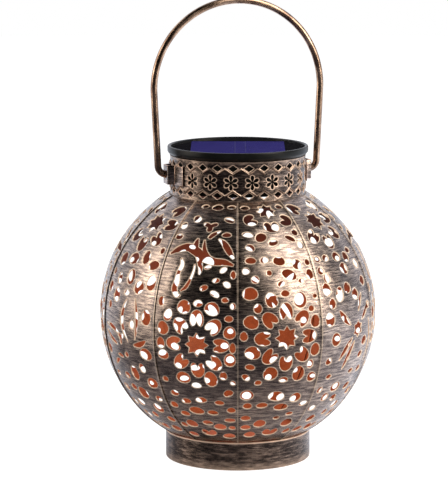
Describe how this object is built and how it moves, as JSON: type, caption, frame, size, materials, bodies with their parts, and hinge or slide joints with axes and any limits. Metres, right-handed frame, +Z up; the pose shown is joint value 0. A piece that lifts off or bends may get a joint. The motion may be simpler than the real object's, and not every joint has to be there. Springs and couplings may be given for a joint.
{
  "type": "solar lantern",
  "caption": "Pierced metal globe lantern on a short base ring, with a swinging wire bail and a round solar lamp head that plugs into its neck.",
  "frame": {"origin": "middle of the base ring, on the surface that the lantern stands on", "axes": "+Z up the lantern's axis, through the solar cap and the top of the bail; +X along the bail's pivot axis, towards ear_right"},
  "size_m": [0.16, 0.1595, 0.2676],
  "materials": {
    "bronze_sheet": "dark patina brushed with copper and bronze, bright at the cut edges",
    "dark_bronze_sheet": "dark brown brushed bronze",
    "copper_wire": "copper-brown brushed wire",
    "black_plastic": "black moulded plastic, semi-gloss",
    "seal_rubber": "matt black rubber",
    "panel_black": "black board",
    "cell_blue": "deep blue-violet solar cell with thin silver lines",
    "clear_cover": "clear and glossy",
    "board_green": "green solder mask",
    "plated_steel": "bright plated steel",
    "battery_wrap": "plain green plastic sleeve",
    "led_resin": "clear warm-tinted resin",
    "lead_red": "red insulation",
    "lead_black": "black insulation"
  },
  "bodies": {
    "lantern": {"base_ring": "dark_bronze_sheet", "base_plate": "dark_bronze_sheet", "globe_panel_01": "bronze_sheet", "globe_panel_02": "bronze_sheet", "globe_panel_03": "bronze_sheet", "globe_panel_04": "bronze_sheet", "globe_panel_05": "bronze_sheet", "globe_panel_06": "bronze_sheet", "globe_panel_07": "bronze_sheet", "globe_panel_08": "bronze_sheet", "globe_panel_09": "bronze_sheet", "globe_panel_10": "bronze_sheet", "neck_band": "bronze_sheet", "neck_collar": "dark_bronze_sheet", "ear_right": "bronze_sheet", "ear_left": "bronze_sheet"},
    "bail": {"bail_handle": "copper_wire"},
    "seal": {"seal_ring": "seal_rubber"},
    "solar_head": {"cap_bezel": "black_plastic", "panel_backing": "panel_black", "solar_cell": "cell_blue", "panel_cover": "clear_cover", "cap_housing": "black_plastic", "circuit_board": "board_green", "board_screw_1": "plated_steel", "board_screw_2": "plated_steel", "battery": "battery_wrap", "contact_plate": "plated_steel", "contact_spring": "plated_steel", "door_pin": "plated_steel", "switch_body": "plated_steel", "led": "led_resin", "lens_dome": "clear_cover", "panel_lead_red": "lead_red", "panel_lead_black": "lead_black", "battery_lead_red": "lead_red", "battery_lead_black": "lead_black"},
    "door": {"battery_door": "black_plastic"},
    "slider": {"switch_slider": "black_plastic"}
  },
  "joints": [
    {"name": "bail_swing", "type": "hinge", "parent": "lantern", "child": "bail", "pos_m": [0, 0, 0.1671], "axis": [1, 0, 0], "range_deg": [-120, 120]},
    {"name": "cap_lift", "type": "slide", "parent": "lantern", "child": "seal", "axis": [0, 0, 1], "range_m": [0, 0.045]},
    {"name": "cap_turn", "type": "hinge", "parent": "seal", "child": "solar_head", "pos_m": [0, 0, 0.17], "axis": [0, 0, 1], "continuous": true},
    {"name": "door_open", "type": "hinge", "parent": "solar_head", "child": "door", "pos_m": [0.00698, 0.02149, 0.1549], "axis": [0.9511, -0.309, 0], "range_deg": [0, 100]},
    {"name": "switch_slide", "type": "slide", "parent": "solar_head", "child": "slider", "axis": [0.9511, -0.309, 0], "range_m": [0, 0.0034]}
  ]
}
